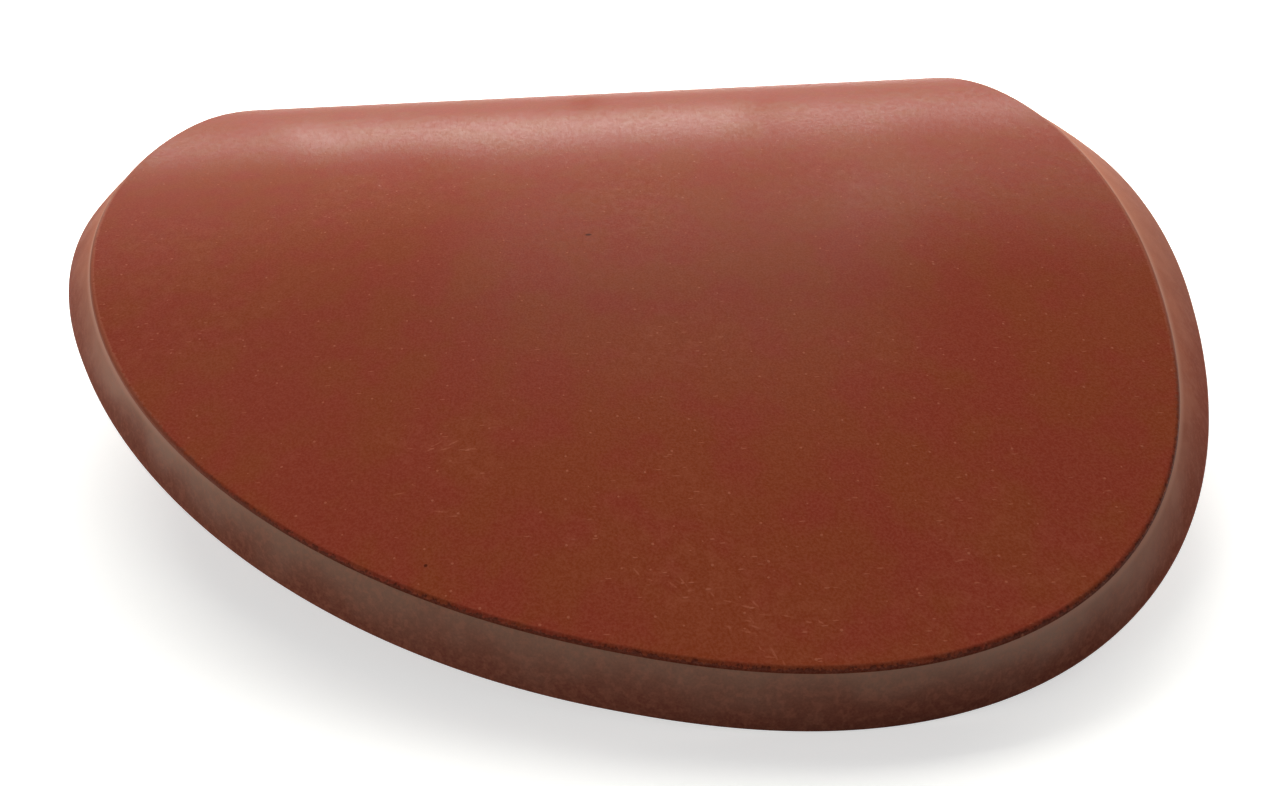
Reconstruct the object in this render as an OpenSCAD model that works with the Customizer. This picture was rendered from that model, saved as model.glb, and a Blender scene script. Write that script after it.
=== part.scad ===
// Rubber ridge tile: one moulded sheet of rubber, bent over a rounded crest.
// Its face ends in a rounded lip, and a rim slopes outward from the lip down to a wider base.
// X runs along the ridge, Y across it and Z up. The origin is on the ground, below the crest.

/* [Size] */
// Length of the base along the ridge, to the outer edge of the rim
base_length = 400; // [300:5:600]
// Width of the base across the ridge at mid length, measured round the bend
base_width = 542; // [400:1:720]
// Thickness of the sheet
thickness = 17; // [8:0.5:24]

/* [Bend] */
// Slope of both sides below the horizontal
slope_angle = 18.9; // [8:0.1:30]
// Radius of the rounded crest, at the face
crest_radius = 452; // [200:2:700]

/* [Outline] */
// Widening toward +X and narrowing toward -X, as a share of the width
taper = 0.184; // [0:0.002:0.3]
// Squareness of both outlines at their ends: 2 is an ellipse, and more is squarer
end_fullness = 2.19; // [1.9:0.01:3]
// Squareness of the base's outline at its sides
base_fullness = 2.41; // [2.2:0.01:3.2]
// Squareness of the face's outline at its sides
face_fullness = 3.03; // [2.4:0.01:3.5]
// Offset of the face toward the narrow end
face_shift = 2.2; // [0:0.2:5]

/* [Rim] */
// How far the rim reaches outward at the two ends of the crest
end_reach = 22.5; // [14:0.5:40]
// How far the rim reaches outward at the two sides, at mid length
side_reach = 7.5; // [6:0.5:30]
// How far the rim bows out from straight, as a share of its depth
rim_bow = 0.04; // [0:0.01:0.2]
// Radius of the lip round the face
lip_radius = 1.5; // [0.5:0.1:2.5]
// Radius of the rounding at the rim's foot
foot_radius = 1; // [0.5:0.1:2]

/* [Hidden] */
bend_width = crest_radius * slope_angle * PI / 180;
face_length = base_length - 2 * end_reach;
face_width = base_width - 2 * side_reach;
rim_depth = thickness - lip_radius - foot_radius;
// Points round the outline, and the exponent that spaces them evenly
sides = 120;
spacing = 0.75;
// Rings across a face, down the rim, and round the lip or the foot
face_rings = 11;
rim_rings = 5;
round_rings = 3;

// Power of a signed number that keeps its sign
function signed_power(v, exponent) = sign(v) * pow(abs(v), exponent);

// Point of a tapered outline on the sheet laid flat: [along the ridge, across it]
function outline(i, length, width, fullness) =
    let (turn = 360 * i / sides,
         across = signed_power(sin(turn), spacing),
         along = sign(cos(turn)) * pow(1 - pow(abs(across), fullness), 1 / end_fullness))
    [length / 2 * along, width / 2 * across * (1 + taper * along)];
function face_edge(i) = outline(i, face_length, face_width, face_fullness) - [face_shift, 0];
function base_edge(i) = outline(i, base_length, base_width, base_fullness);

// Place of a flat-sheet point on the bent sheet, a depth below the face
function bend(flat, depth) =
    let (from_crest = abs(flat[1]),
         tilt = min(from_crest / bend_width, 1) * slope_angle,
         straight = max(from_crest - bend_width, 0),
         across = crest_radius * sin(tilt) + straight * cos(tilt) - depth * sin(tilt),
         drop = crest_radius * (1 - cos(tilt)) + straight * sin(tilt) + depth * cos(tilt))
    [flat[0], sign(flat[1]) * across, -drop];

// Ring at a share of the way from the face's edge out to the base's, moved inward a little,
// and scaled toward the centre
function ring(share, inward, depth, scale = 1) =
    [for (i = [0 : sides - 1])
        let (edge = face_edge(i), way = base_edge(i) - edge)
        bend(scale * (edge + (share - inward / norm(way)) * way), depth)];

face_part = [for (k = [1 : face_rings]) ring(0, lip_radius, 0, k / face_rings)];
lip_part = [for (k = [1 : round_rings])
    let (turn = 90 * k / round_rings)
    ring(0, lip_radius * (1 - sin(turn)), lip_radius * (1 - cos(turn)))];
rim_part = [for (k = [1 : rim_rings])
    let (share = k / rim_rings, bowed = share - 4 * rim_bow * share * (1 - share))
    ring(share, 0, lip_radius + rim_depth * bowed)];
foot_part = [for (k = [1 : round_rings])
    let (turn = 90 * k / round_rings)
    ring(1, foot_radius * (1 - cos(turn)), thickness - foot_radius * (1 - sin(turn)))];
under_part = [for (k = [face_rings - 1 : -1 : 1]) ring(1, foot_radius, thickness, k / face_rings)];
rings = concat(face_part, lip_part, rim_part, foot_part, under_part);
crest_height = -min([for (places = foot_part, place = places) place[2]]);

module ridge_tile() {
    last = len(rings) - 1;
    top_centre = len(rings) * sides;
    bottom_centre = top_centre + 1;
    points = concat([for (places = rings) each places], [bend([0, 0], 0), bend([0, 0], thickness)]);
    faces = concat(
        [for (i = [0 : sides - 1]) [top_centre, (i + 1) % sides, i]],
        [for (k = [0 : last - 1], i = [0 : sides - 1])
            let (j = (i + 1) % sides, near = k * sides, far = near + sides)
            each [[near + i, near + j, far + i], [near + j, far + j, far + i]]],
        [for (i = [0 : sides - 1])
            [bottom_centre, last * sides + i, last * sides + (i + 1) % sides]]);
    color("#74402f") translate([0, 0, crest_height]) polyhedron(points, faces);
}

ridge_tile();
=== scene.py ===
"""Looks of the rubber ridge tile: its fine mesh, its rubber, and the studio that shows it."""
from math import atan2, cos, hypot, pi, radians, sin
from random import Random

import bpy
import numpy as np
from mathutils import Matrix, Vector


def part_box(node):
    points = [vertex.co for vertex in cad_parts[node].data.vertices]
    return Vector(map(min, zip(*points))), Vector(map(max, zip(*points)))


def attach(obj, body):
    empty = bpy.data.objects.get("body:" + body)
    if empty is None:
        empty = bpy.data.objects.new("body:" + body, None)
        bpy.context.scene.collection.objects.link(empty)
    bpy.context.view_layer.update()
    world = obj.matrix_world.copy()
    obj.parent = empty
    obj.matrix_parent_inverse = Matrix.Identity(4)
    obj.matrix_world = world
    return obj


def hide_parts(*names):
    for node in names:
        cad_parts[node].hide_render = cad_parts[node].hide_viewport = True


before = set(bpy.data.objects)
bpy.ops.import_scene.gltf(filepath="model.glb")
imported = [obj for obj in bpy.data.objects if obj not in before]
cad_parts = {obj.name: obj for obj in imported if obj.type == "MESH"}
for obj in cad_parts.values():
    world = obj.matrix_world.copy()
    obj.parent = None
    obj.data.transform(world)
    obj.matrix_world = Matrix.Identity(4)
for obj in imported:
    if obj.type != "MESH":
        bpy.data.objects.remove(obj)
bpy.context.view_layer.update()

# Sizes of the tile, in metres: the same values as the part's source
BASE_LENGTH, BASE_WIDTH, BASE_FULLNESS = 0.400, 0.542, 2.41
END_REACH, SIDE_REACH = 0.0225, 0.0075
FACE_LENGTH, FACE_WIDTH = BASE_LENGTH - 2 * END_REACH, BASE_WIDTH - 2 * SIDE_REACH
FACE_FULLNESS, FACE_SHIFT = 3.03, 0.0022
TAPER, END_FULLNESS = 0.184, 2.19
SLOPE, CREST_RADIUS = radians(18.9), 0.452
THICKNESS, LIP_RADIUS, FOOT_RADIUS = 0.017, 0.0015, 0.001
RIM_DEPTH = THICKNESS - LIP_RADIUS - FOOT_RADIUS
RIM_BOW = 0.04
SPACING = 0.75
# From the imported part
CREST_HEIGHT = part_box("ridge_tile")[1].z

# Values of the mesh's rim attribute, from the middle of the face out and round to the underside
FACE_MIDDLE, LIP_TOP, LIP_BOTTOM, FOOT_TOP, UNDERSIDE = -2.0, -1.0, -0.6, 1.0, 2.0

# Fineness of the mesh
SIDES = 480
FACE_RINGS = 56
ROUND_RINGS = 7
RIM_RINGS = 20
UNDER_RINGS = 28
# Share of the way down the rim at which its first ring lies, just off the lip's last one
RIM_START = 0.004


# ---------------------------------------------------------------- shape

def outline(length, width, fullness):
    """Tapered outline on the sheet laid flat, as (along the ridge, across it) points."""
    turn = np.arange(SIDES) * 2 * pi / SIDES
    across = np.sign(np.sin(turn)) * np.abs(np.sin(turn)) ** SPACING
    share = np.clip(1 - np.abs(across) ** fullness, 0, None)
    along = np.sign(np.round(np.cos(turn), 9)) * share ** (1 / END_FULLNESS)
    return np.stack([length / 2 * along, width / 2 * across * (1 + TAPER * along)], 1)


def bend(flat, depth):
    """Places flat-sheet points on the bent sheet, a depth below its face."""
    from_crest = np.abs(flat[:, 1])
    tilt = np.minimum(from_crest / CREST_RADIUS, SLOPE)
    straight = from_crest - CREST_RADIUS * tilt
    across = CREST_RADIUS * np.sin(tilt) + straight * np.cos(tilt) - depth * np.sin(tilt)
    drop = CREST_RADIUS * (1 - np.cos(tilt)) + straight * np.sin(tilt) + depth * np.cos(tilt)
    return np.stack([flat[:, 0], np.sign(flat[:, 1]) * across, CREST_HEIGHT - drop], 1)


def section():
    """Rings from the middle of the face round the rim to the middle of the underside.

    Each is (points laid flat, depth, value of the rim attribute): the value rises from
    FACE_MIDDLE to LIP_TOP over the face, to LIP_BOTTOM round the lip, from 0 to FOOT_TOP down
    the rim and to UNDERSIDE round the foot.
    """
    face = outline(FACE_LENGTH, FACE_WIDTH, FACE_FULLNESS) - [FACE_SHIFT, 0]
    way = outline(BASE_LENGTH, BASE_WIDTH, BASE_FULLNESS) - face
    out = way / np.linalg.norm(way, axis=1)[:, None]
    base = face + way
    rings = []
    for k in range(1, FACE_RINGS + 1):
        share = sin(k / FACE_RINGS * pi / 2)
        rings.append((share * (face - LIP_RADIUS * out), 0.0, FACE_MIDDLE + share))
    for k in range(1, ROUND_RINGS + 1):
        turn = pi / 2 * k / ROUND_RINGS
        rings.append((face - LIP_RADIUS * (1 - sin(turn)) * out, LIP_RADIUS * (1 - cos(turn)),
                      LIP_TOP + (LIP_BOTTOM - LIP_TOP) * k / ROUND_RINGS))
    for k in range(RIM_RINGS + 1):
        share = max(k / RIM_RINGS, RIM_START)
        bowed = share - 4 * RIM_BOW * share * (1 - share)
        rings.append((face + share * way, LIP_RADIUS + RIM_DEPTH * bowed, share))
    for k in range(1, ROUND_RINGS + 1):
        turn = pi / 2 * k / ROUND_RINGS
        rings.append((base - FOOT_RADIUS * (1 - cos(turn)) * out,
                      THICKNESS - FOOT_RADIUS * (1 - sin(turn)), FOOT_TOP + k / ROUND_RINGS))
    for k in range(UNDER_RINGS - 1, 0, -1):
        rings.append((k / UNDER_RINGS * (base - FOOT_RADIUS * out), THICKNESS, UNDERSIDE))
    return rings


def tile_mesh():
    """One closed mesh of the tile, with its flat-sheet place and rim value at each point."""
    rings = section()
    last = len(rings) - 1
    centre = np.zeros((1, 2))
    rings += [(centre, 0.0, FACE_MIDDLE), (centre, THICKNESS, UNDERSIDE)]
    points = np.concatenate([bend(flat, depth) for flat, depth, _ in rings])
    sheet = np.concatenate([np.c_[flat, np.full(len(flat), depth)] for flat, depth, _ in rings])
    rim = np.concatenate([np.full(len(flat), value) for flat, _, value in rings])
    top_centre, bottom_centre = len(points) - 2, len(points) - 1
    step = [(i, (i + 1) % SIDES) for i in range(SIDES)]
    faces = [(top_centre, i, j) for i, j in step]
    for k in range(last):
        near, far = k * SIDES, (k + 1) * SIDES
        faces += [(near + i, far + i, far + j, near + j) for i, j in step]
    faces += [(bottom_centre, last * SIDES + j, last * SIDES + i) for i, j in step]
    mesh = bpy.data.meshes.new("tile")
    mesh.from_pydata(points.tolist(), [], faces)
    mesh.attributes.new("rim", "FLOAT", "POINT").data.foreach_set("value", rim)
    mesh.attributes.new("sheet", "FLOAT_VECTOR", "POINT").data.foreach_set("vector", sheet.ravel())
    mesh.shade_smooth()
    mesh.update()
    return mesh


# ---------------------------------------------------------------- materials

class Nodes:
    """Short calls that build a material's node tree."""

    def __init__(self, name):
        self.material = bpy.data.materials.new(name)
        self.material.use_nodes = True
        self.tree = self.material.node_tree
        self.tree.nodes.clear()

    def add(self, kind, inputs=None, **settings):
        node = self.tree.nodes.new(kind)
        for key, value in settings.items():
            setattr(node, key, value)
        for key, value in (inputs or {}).items():
            self.set(node.inputs[key], value)
        return node

    def set(self, socket, value):
        if isinstance(value, bpy.types.NodeSocket):
            self.tree.links.new(value, socket)
        else:
            socket.default_value = value

    def math(self, operation, a, b=0.0, clamp=False):
        return self.add("ShaderNodeMath", {0: a, 1: b}, operation=operation, use_clamp=clamp).outputs[0]

    def ramp(self, value, low, high, out_low=0.0, out_high=1.0):
        node = self.add("ShaderNodeMapRange", interpolation_type="SMOOTHSTEP")
        for key, item in (("Value", value), ("From Min", low), ("From Max", high),
                          ("To Min", out_low), ("To Max", out_high)):
            self.set(node.inputs[key], item)
        return node.outputs[0]

    def mix(self, factor, a, b):
        node = self.add("ShaderNodeMix", data_type="RGBA")
        for index, item in ((0, factor), (6, a), (7, b)):
            self.set(node.inputs[index], item)
        return node.outputs[2]

    def noise(self, place, scale, detail=2.0, roughness=0.5):
        return self.add("ShaderNodeTexNoise", {
            "Vector": place, "Scale": scale, "Detail": detail, "Roughness": roughness}).outputs["Fac"]

    def attribute(self, name, output):
        return self.add("ShaderNodeAttribute", attribute_name=name).outputs[output]

    def output(self, shader):
        self.add("ShaderNodeOutputMaterial", {"Surface": shader.outputs[0]})


def colour(red, green, blue):
    """Linear colour from 0 to 255 display values."""
    def linear(v):
        v /= 255
        return v / 12.92 if v <= 0.04045 else ((v + 0.055) / 1.055) ** 2.4
    return (linear(red), linear(green), linear(blue), 1.0)


RUBBER_RED = colour(130, 50, 34)
RUBBER_BROWN = colour(128, 56, 30)
# The lip's painted shade at the front and back, where it faces away from the light, and its painted
# highlight at the ends
LIP_PAINTED_SHADE = colour(84, 34, 22)
LIP_PAINTED_HIGHLIGHT = colour(142, 74, 54)
# Painted highlight on the rim's upper edge and over the rim near the crest
EDGE_PAINTED_HIGHLIGHT = colour(196, 146, 126)
# The greyish film, and a copy of it painted lighter as painted light
FILM, FILM_PAINTED_LIGHT = colour(131, 99, 85), colour(160, 132, 120)
# Foot of the rim, darker with painted shade near the floor
FOOT_SHADED = colour(110, 61, 49)
FILM_ENDS, FOOT_ENDS = colour(170, 99, 76), colour(134, 55, 33)
DUST = colour(190, 120, 96)
SPECK = colour(190, 120, 92)
SCUFF = colour(168, 98, 74)
PIT = colour(58, 20, 14)
# How much each layer shows at its strongest
DUST_SHARE, STIPPLE_SHARE, HAZE_SHARE, EDGE_HIGHLIGHT_SHARE, TIP_HIGHLIGHT_SHARE = 0.11, 0.13, 0.1, 0.6, 0.22
SPECK_SHARE, SCUFF_SHARE, PIT_SHARE, HAIR_SHARE, RUB_SHARE = 0.3, 0.5, 0.8, 0.8, 0.8

# Fineness of the noises, per metre
BROAD, RUB, BLOTCH, HAZE = 16.0, 22.0, 70.0, 260.0
PORE, RAGGED, PATCHY, GRAIN = 520.0, 700.0, 1500.0, 1600.0

# Small marks: length over width, turn in radians, cells per metre, radius in metres, share of cells
SPOTS = (1.0, 0.0, 150.0, 0.00042, 0.7)
HAIRS = (5.0, 0.45, 330.0, 0.0002, 0.4)
RUBS = (3.0, -0.5, 420.0, 0.00026, 0.7)

# Distances from the crest, in metres over the sheet, over which the lip's painted highlight at the
# ends turns to painted shade towards the front and back, and over which the film, towards the ends
# of the crest, turns red, is painted lighter, gets a painted highlight on its upper edge and gets a
# painted highlight all over
LIP_ZONE = (0.16, 0.24)
ENDS_ZONE, LIT_FILM_ZONE, EDGE_HIGHLIGHT_ZONE, TIP_HIGHLIGHT_ZONE = (0.26, 0.14), (0.27, 0.215), (0.27, 0.2), (0.15, 0.08)
# What is added to the distance at the left and the right end, so that these colours lie unevenly
LEAN = (0.05, -0.04)

# Stretches of the rim attribute: where the lip's painted shade and highlight can start, where its
# edge lies, where the rim's colours take over, where the coat ends, where the film fades into the
# foot's painted shade and where the rim's upper edge gets its painted highlight
LIP_START, LIP_BAND = (LIP_TOP - 0.003, LIP_TOP), (LIP_TOP + 0.14, LIP_TOP + 0.22)
RIM_BAND, COAT_BAND = (LIP_BOTTOM, LIP_BOTTOM + 0.1), (LIP_TOP + 0.1, LIP_BOTTOM)
FILM_BAND, EDGE_HIGHLIGHT_BAND = (-0.1, FOOT_TOP), (0.18, 0.03)
# On the same scale, how ragged the edge of the lip's painted shade and highlight is, how much
# wider they are near the crest, and how far the film's fading wanders with the broad noise and
# with the blotches
LIP_RAGGED, LIP_WIDER, FILM_WANDER, FILM_RIPPLE = 0.1, 0.25, 0.12, 0.14

# Gloss: the coat on the face and on the rim, and how unevenly it is worn. Under it, the rubber's
# specular level, its roughness over the grain, and what broad patches add to that
COAT_FACE, COAT_RIM, COAT_WEAR, COAT_ROUGHNESS, COAT_IOR = 0.385, 0.02, (0.75, 1.25), 0.16, 1.33
UNDERCOAT_SPECULAR, ROUGHNESS, ROUGHER = 0.003, (0.36, 0.42), 0.03
# Bump, and what each field adds to its height
BUMP_STRENGTH, BUMP_HEIGHT = 0.2, 0.0004
GRAIN_HEIGHT, BLOTCH_HEIGHT, PORE_HEIGHT, MARK_HEIGHT = 0.6, 0.4, 0.1, 0.5

# Trails of pale scuffs, as a dragged tile leaves them, in millimetres on the sheet laid flat (along
# the ridge, across it with the front negative): the two ends, the spread, and how many strokes
TRAILS = [
    ((2, -244), (42, -261), 1.2, 13), ((22, -258), (33, -267), 2.5, 12),
    ((-50, -202), (-36, -204), 1.8, 6), ((-60, -216), (-40, -224), 3.0, 4),
]
STROKE_LENGTHS, STROKE_HALF_WIDTHS, STROKE_TURN = (1.0, 3.2), (0.18, 0.32), 0.7
STROKE_SEED = 7
# How sharp a speck's edge is, and from where a stroke and a patch start to where they are full, in
# shares of the ellipse's radius
SPECK_SHARPNESS, STROKE_EDGE, PATCH_EDGE = 2.5, (1.3, 0.3), (1.2, 0.5)
# Rubbed patches of the face: the two ends of each and its half width; dark flecks likewise
RUBBED = [(-5, -236, 40, -258, 16), (-58, -200, -34, -212, 9)]
FLECKS = [(-7, -116, -6, -116, 0.7), (-47, -239, -47, -239, 0.5)]
MM = 0.001


def scuff_strokes():
    """Short strokes strewn along the trails, each as its two ends and its half width."""
    draw = Random(STROKE_SEED)
    marks = []
    for (u0, w0), (u1, w1), spread, count in TRAILS:
        for k in range(count):
            share = (k + draw.random()) / count
            u = u0 + share * (u1 - u0) + draw.uniform(-spread, spread)
            w = w0 + share * (w1 - w0) + draw.uniform(-spread, spread)
            turn = atan2(w1 - w0, u1 - u0) + draw.uniform(-STROKE_TURN, STROKE_TURN)
            half = draw.uniform(*STROKE_LENGTHS) / 2
            marks.append((u - half * cos(turn), w - half * sin(turn), u + half * cos(turn),
                          w + half * sin(turn), draw.uniform(*STROKE_HALF_WIDTHS)))
    return marks


def strokes(n, sheet, marks):
    """Distance from the nearest of some slim ellipses: 0 on its middle and 1 on its edge."""
    nearest = None
    for u0, w0, u1, w1, half_width in marks:
        middle = ((u0 + u1) / 2 * MM, (w0 + w1) / 2 * MM, 0)
        half_length = (hypot(u1 - u0, w1 - w0) / 2 + half_width) * MM
        local = n.add("ShaderNodeMapping", {
            "Vector": sheet, "Location": middle, "Rotation": (0, 0, atan2(w1 - w0, u1 - u0)),
            "Scale": (half_length, half_width * MM, 1)}, vector_type="TEXTURE").outputs[0]
        away = n.add("ShaderNodeVectorMath", {0: local}, operation="LENGTH").outputs["Value"]
        nearest = away if nearest is None else n.math("MINIMUM", nearest, away)
    return nearest


def specks(n, sheet, stretch, turn, scale, radius, share):
    """Small spots strewn over the sheet, one at most in each cell: 1 on a spot, 0 elsewhere."""
    place = n.add("ShaderNodeMapping", {
        "Vector": sheet, "Rotation": (0, 0, turn), "Scale": (1 / stretch, 1, 0)}).outputs[0]
    cells = n.add("ShaderNodeTexVoronoi", {"Vector": place, "Scale": scale},
                  voronoi_dimensions="2D", feature="F1")
    chance = n.add("ShaderNodeSeparateColor", {0: cells.outputs["Color"]})
    reach = n.ramp(chance.outputs[0], 1 - share, 1.0, 0.0, radius * scale)
    near = n.math("SUBTRACT", reach, cells.outputs["Distance"])
    return n.math("MULTIPLY", near, SPECK_SHARPNESS / (radius * scale), clamp=True)


class Rubber(Nodes):
    """The red rubber, with the fields that its layers share.

    A noise lies mostly between 0.3 and 0.7, so each ramp over one starts and ends in that range.
    """

    def __init__(self):
        super().__init__("red_rubber")
        self.sheet = self.attribute("sheet", "Vector")
        self.rim = self.attribute("rim", "Fac")
        self.place = self.add("ShaderNodeTexCoord").outputs["Object"]
        self.broad = self.noise(self.place, BROAD, 3.0, 0.55)
        self.blotch = self.noise(self.place, BLOTCH, 3.0, 0.5)
        self.grain = self.noise(self.place, GRAIN, 3.0, 0.65)
        self.pores = self.noise(self.place, PORE, 2.0, 0.6)
        self.on_rim = self.ramp(self.rim, *RIM_BAND)
        self.on_face = self.math("SUBTRACT", 1.0, self.on_rim)
        split = self.add("ShaderNodeSeparateXYZ", {0: self.sheet})
        self.across = self.math("ABSOLUTE", split.outputs["Y"])
        lean = self.ramp(split.outputs["X"], -BASE_LENGTH / 2, BASE_LENGTH / 2, *LEAN)
        self.reach = self.math("ADD", self.across, lean)
        scuffed = self.ramp(self.noise(self.place, RUB), 0.5, 0.66, 0.0, RUB_SHARE)
        rubbed = self.ramp(strokes(self, self.sheet, RUBBED), *PATCH_EDGE)
        self.scuffed = self.math("MAXIMUM", scuffed, rubbed)
        self.marks = self.fine_marks()

    def weigh(self, field, weight):
        return self.math("MULTIPLY", field, weight)

    def fine_marks(self):
        """Pale specks and short hairs all over the face, and more of them where it is scuffed."""
        spots = specks(self, self.sheet, *SPOTS)
        hairs = self.weigh(specks(self, self.sheet, *HAIRS), HAIR_SHARE)
        rubs = self.math("MULTIPLY", specks(self, self.sheet, *RUBS), self.scuffed)
        marks = self.math("MAXIMUM", spots, self.math("MAXIMUM", hairs, rubs))
        return self.math("MULTIPLY", marks, self.on_face)

    def face(self):
        """Faint red and brown patches."""
        patch = self.math("ADD", self.weigh(self.broad, 0.3), self.weigh(self.blotch, 0.7))
        return self.mix(self.ramp(patch, 0.4, 0.6), RUBBER_RED, RUBBER_BROWN)

    def lipped(self, tone):
        """A lip with ragged painted shade at the front and back, and a painted highlight at the ends.
        """
        torn = self.noise(self.place, RAGGED, 3.0, 0.7)
        ragged = self.ramp(torn, 0.35, 0.65, -LIP_RAGGED, LIP_RAGGED)
        wider = self.ramp(self.across, *LIP_ZONE, LIP_WIDER, 0.0)
        edge = self.math("ADD", self.math("ADD", self.rim, ragged), wider)
        # Mask of the lip's painted shade and painted highlight
        lip_light_mask = self.math("MULTIPLY", self.ramp(self.rim, *LIP_START), self.ramp(edge, *LIP_BAND))
        # Painted highlight near the ends, painted shade towards the front and back
        lip = self.mix(self.ramp(self.across, *LIP_ZONE), LIP_PAINTED_HIGHLIGHT, LIP_PAINTED_SHADE)
        return self.mix(lip_light_mask, tone, lip)

    def side(self):
        """A greyish film that fades to a foot darkened with painted shade, redder at the ends and
        painted lighter towards them, with a painted highlight on its upper edge and near the crest.
        """
        uneven = self.math("ADD", self.ramp(self.broad, 0.3, 0.7, -FILM_WANDER, FILM_WANDER),
                           self.ramp(self.blotch, 0.3, 0.7, -FILM_RIPPLE, FILM_RIPPLE))
        # The film fades down the rim into the foot's painted shade
        fade = self.ramp(self.math("ADD", self.rim, uneven), *FILM_BAND, 1.0, 0.0)
        ends = self.ramp(self.reach, *ENDS_ZONE)
        # Film painted lighter towards the ends, as painted light
        film = self.mix(self.ramp(self.reach, *LIT_FILM_ZONE), FILM, FILM_PAINTED_LIGHT)
        tone = self.mix(fade, self.mix(ends, FOOT_SHADED, FOOT_ENDS), self.mix(ends, film, FILM_ENDS))
        # Painted highlight over the rim near the crest
        tone = self.mix(self.ramp(self.reach, *TIP_HIGHLIGHT_ZONE, 0.0, TIP_HIGHLIGHT_SHARE), tone, EDGE_PAINTED_HIGHLIGHT)
        # Painted highlight along the rim's upper edge near the ends
        wear_and_highlight = self.math("MULTIPLY", self.ramp(self.rim, *EDGE_HIGHLIGHT_BAND),
                         self.ramp(self.reach, *EDGE_HIGHLIGHT_ZONE, 0.0, EDGE_HIGHLIGHT_SHARE))
        return self.mix(wear_and_highlight, tone, EDGE_PAINTED_HIGHLIGHT)

    def dusted(self, tone):
        """A fine dust in the grain, and a coarser stipple of it on the rim."""
        dust = self.ramp(self.grain, 0.35, 0.65, 0.0, DUST_SHARE)
        stipple = self.ramp(self.pores, 0.45, 0.65, 0.0, STIPPLE_SHARE)
        dust = self.math("ADD", dust, self.math("MULTIPLY", self.on_rim, stipple))
        return self.mix(dust, tone, DUST)

    def marked(self, tone):
        """Rubbed haze, specks, scuff strokes and dark flecks."""
        haze = self.ramp(self.noise(self.place, HAZE, 3.0, 0.6), 0.46, 0.64)
        haze = self.math("MULTIPLY", self.math("MULTIPLY", self.scuffed, haze), self.on_face)
        patchy = self.ramp(self.noise(self.place, PATCHY), 0.35, 0.6, 0.35, 1.0)
        scratch = self.ramp(strokes(self, self.sheet, scuff_strokes()), *STROKE_EDGE)
        scratch = self.math("MULTIPLY", scratch, patchy)
        fleck = self.ramp(strokes(self, self.sheet, FLECKS), *PATCH_EDGE)
        tone = self.mix(self.weigh(haze, HAZE_SHARE), tone, SCUFF)
        tone = self.mix(self.weigh(self.marks, SPECK_SHARE), tone, SPECK)
        tone = self.mix(self.weigh(scratch, SCUFF_SHARE), tone, SCUFF)
        return self.mix(self.weigh(fleck, PIT_SHARE), tone, PIT)

    def bump(self):
        height = self.weigh(self.grain, GRAIN_HEIGHT)
        for field, share in ((self.blotch, BLOTCH_HEIGHT), (self.pores, PORE_HEIGHT),
                             (self.marks, MARK_HEIGHT)):
            height = self.math("ADD", height, self.weigh(field, share))
        return self.add("ShaderNodeBump", {
            "Height": height, "Strength": BUMP_STRENGTH, "Distance": BUMP_HEIGHT}).outputs[0]

    def coat(self):
        """A thin gloss on the face, worn unevenly, that nearly ends at the lip."""
        wear_and_highlight = self.ramp(self.pores, 0.36, 0.64, *COAT_WEAR)
        gloss = self.ramp(self.rim, *COAT_BAND, COAT_FACE, COAT_RIM)
        return self.math("MULTIPLY", gloss, wear_and_highlight)

    def roughness(self):
        return self.math("ADD", self.ramp(self.grain, 0.3, 0.7, *ROUGHNESS),
                         self.ramp(self.broad, 0.35, 0.65, 0.0, ROUGHER))

    def build(self):
        tone = self.mix(self.on_rim, self.lipped(self.face()), self.side())
        bump = self.bump()
        self.output(self.add("ShaderNodeBsdfPrincipled", {
            "Base Color": self.marked(self.dusted(tone)), "Roughness": self.roughness(),
            "Normal": bump, "Coat Normal": bump, "Coat Weight": self.coat(),
            "Coat Roughness": COAT_ROUGHNESS, "Coat IOR": COAT_IOR,
            "Specular IOR Level": UNDERCOAT_SPECULAR}))
        return self.material


PAPER = (0.8, 0.8, 0.8, 1.0)
WHITE = (1.0, 1.0, 1.0, 1.0)
# Glow of the paper as the camera sees it: from under the tile to the open floor, and the distances
PAPER_GLOW, GLOW_DISTANCES = (0.55, 1.0), (0.5, 2.0)
FLOOR_HALF = 12.0


def paper():
    """Pale floor that is white to the camera and keeps the tile's shadow."""
    n = Nodes("white_paper")
    seen = n.add("ShaderNodeLightPath").outputs["Is Camera Ray"]
    place = n.add("ShaderNodeTexCoord").outputs["Object"]
    away = n.add("ShaderNodeVectorMath", {0: place}, operation="LENGTH").outputs["Value"]
    white = n.math("MULTIPLY", seen, n.ramp(away, *GLOW_DISTANCES, *PAPER_GLOW))
    diffuse = n.add("ShaderNodeBsdfDiffuse", {"Color": PAPER})
    glow = n.add("ShaderNodeEmission", {"Color": WHITE, "Strength": white})
    both = n.add("ShaderNodeAddShader", {0: diffuse.outputs[0], 1: glow.outputs[0]})
    n.output(both)
    return n.material


# ---------------------------------------------------------------- scene

def link(name, data):
    thing = bpy.data.objects.new(name, data)
    bpy.context.scene.collection.objects.link(thing)
    return thing


def build_tile():
    tile = link("tile", tile_mesh())
    tile.data.materials.append(Rubber().build())
    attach(tile, "root")
    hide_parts("ridge_tile")


def build_floor():
    mesh = bpy.data.meshes.new("floor")
    corners = [(x * FLOOR_HALF, y * FLOOR_HALF, 0) for x, y in ((-1, -1), (1, -1), (1, 1), (-1, 1))]
    mesh.from_pydata(corners, [], [(0, 1, 2, 3)])
    floor = link("floor", mesh)
    mesh.materials.append(paper())


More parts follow.
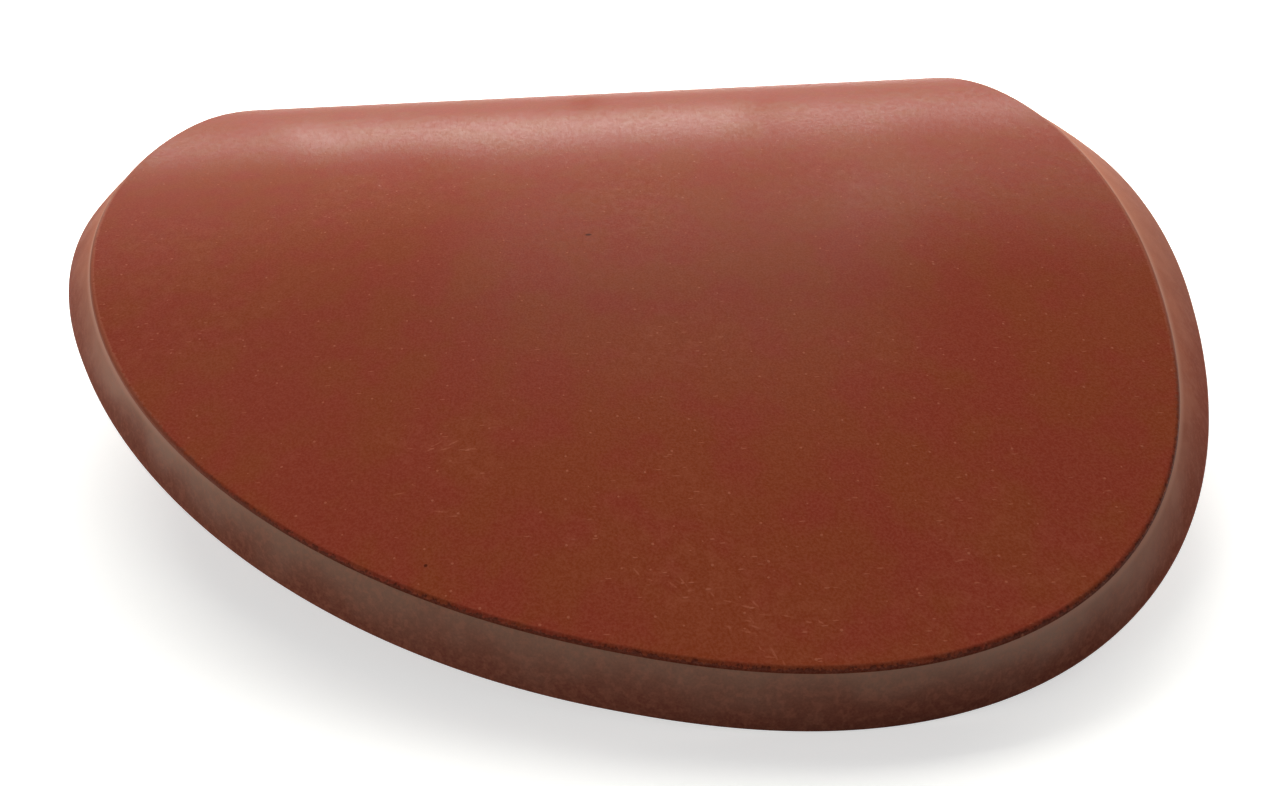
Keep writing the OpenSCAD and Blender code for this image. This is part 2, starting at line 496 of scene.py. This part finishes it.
def area_light(name, place, height, watts):
    data = bpy.data.lights.new(name, "AREA")
    data.shape = "RECTANGLE"
    data.size, data.size_y, data.energy = LAMP_WIDTH, height, watts
    lamp = link(name, data)
    lamp.location = place
    lamp.rotation_euler = (Vector(LAMP_TARGET) - place).to_track_quat("-Z", "Y").to_euler()
    data.color = LAMP_TINT
    return lamp


# Soft lamps round the tile: compass angle from the back towards the right, height angle, distance
# and panel height in metres, watts, and whether the panel is mirrored in glossy surfaces
LAMPS = [
    ("low_left", -36, 19.5, 2.4, 0.32, 2.7, True), ("low_back", -5.2, 19.5, 2.4, 0.32, 4.9, True),
    ("low_right", 28, 19, 2.4, 0.34, 2.9, True), ("window", 5, 28, 2.4, 0.6, 2.6, True),
    ("horizon_left", -17, 7, 2.4, 0.5, 0.8, True), ("horizon_right", 15, 7, 2.4, 0.5, 0.8, True),
    ("upper", 9, 54, 2.4, 1.3, 6.2, True), ("sky", -9, 50, 0.92, 0.8, 17.7, False),
    ("window_left", -32, 36, 2.4, 0.8, 1.5, True), ("window_right", 40, 38, 2.4, 0.8, 2.8, True),
    ("back_right", 42, 20, 1.0, 0.5, 5.0, False), ("left", -115, 12, 2.4, 0.8, 13.0, False),
    ("right", 54, 14, 2.4, 0.8, 24.0, False),
]
LAMP_WIDTH, LAMP_TARGET, LAMP_TINT = 1.3, (0, 0, 0.05), (1.0, 0.99, 0.92)
WORLD_LEVEL = 0.15


def build_world():
    """A dim even light all round, which the camera sees as white."""
    world = bpy.data.worlds.new("studio")
    world.use_nodes = True
    nodes, links = world.node_tree.nodes, world.node_tree.links
    seen = nodes.new("ShaderNodeLightPath").outputs["Is Camera Ray"]
    level = nodes.new("ShaderNodeMapRange")
    level.inputs["To Min"].default_value = WORLD_LEVEL
    links.new(seen, level.inputs["Value"])
    nodes["Background"].inputs["Color"].default_value = WHITE
    links.new(level.outputs[0], nodes["Background"].inputs["Strength"])
    bpy.context.scene.world = world


def build_lamps():
    for name, azimuth, elevation, distance, height, watts, mirrored in LAMPS:
        turn, rise = radians(azimuth), radians(elevation)
        place = Vector((sin(turn) * cos(rise), cos(turn) * cos(rise), sin(rise))) * distance
        area_light(name, place, height, watts).visible_glossy = mirrored


# Camera: a 26 mm lens held close in front of the tile, a little higher than its crest
CAMERA_PLACE = Vector((0.0, -0.40416, CREST_HEIGHT + 0.08377))
CAMERA_AZIMUTH, CAMERA_ELEVATION, CAMERA_ROLL = radians(-1.608), radians(28.674), radians(-2.419)
CAMERA_LENS, CAMERA_FILM, CAMERA_NEAR = 25.99, 36.0, 0.01


def build_camera():
    forward = Vector((-sin(CAMERA_AZIMUTH) * cos(CAMERA_ELEVATION),
                      cos(CAMERA_AZIMUTH) * cos(CAMERA_ELEVATION), -sin(CAMERA_ELEVATION)))
    level = Vector((cos(CAMERA_AZIMUTH), sin(CAMERA_AZIMUTH), 0))
    upright = level.cross(forward)
    right = cos(CAMERA_ROLL) * level + sin(CAMERA_ROLL) * upright
    up = cos(CAMERA_ROLL) * upright - sin(CAMERA_ROLL) * level
    data = bpy.data.cameras.new("camera")
    data.lens, data.sensor_width, data.clip_start = CAMERA_LENS, CAMERA_FILM, CAMERA_NEAR
    camera = link("camera", data)
    camera.matrix_world = Matrix.Translation(CAMERA_PLACE) @ Matrix(
        (right, up, -forward)).transposed().to_4x4()
    bpy.context.scene.camera = camera


bpy.context.scene.view_settings.view_transform = "Standard"
build_camera()
build_tile()
build_floor()
build_world()
build_lamps()
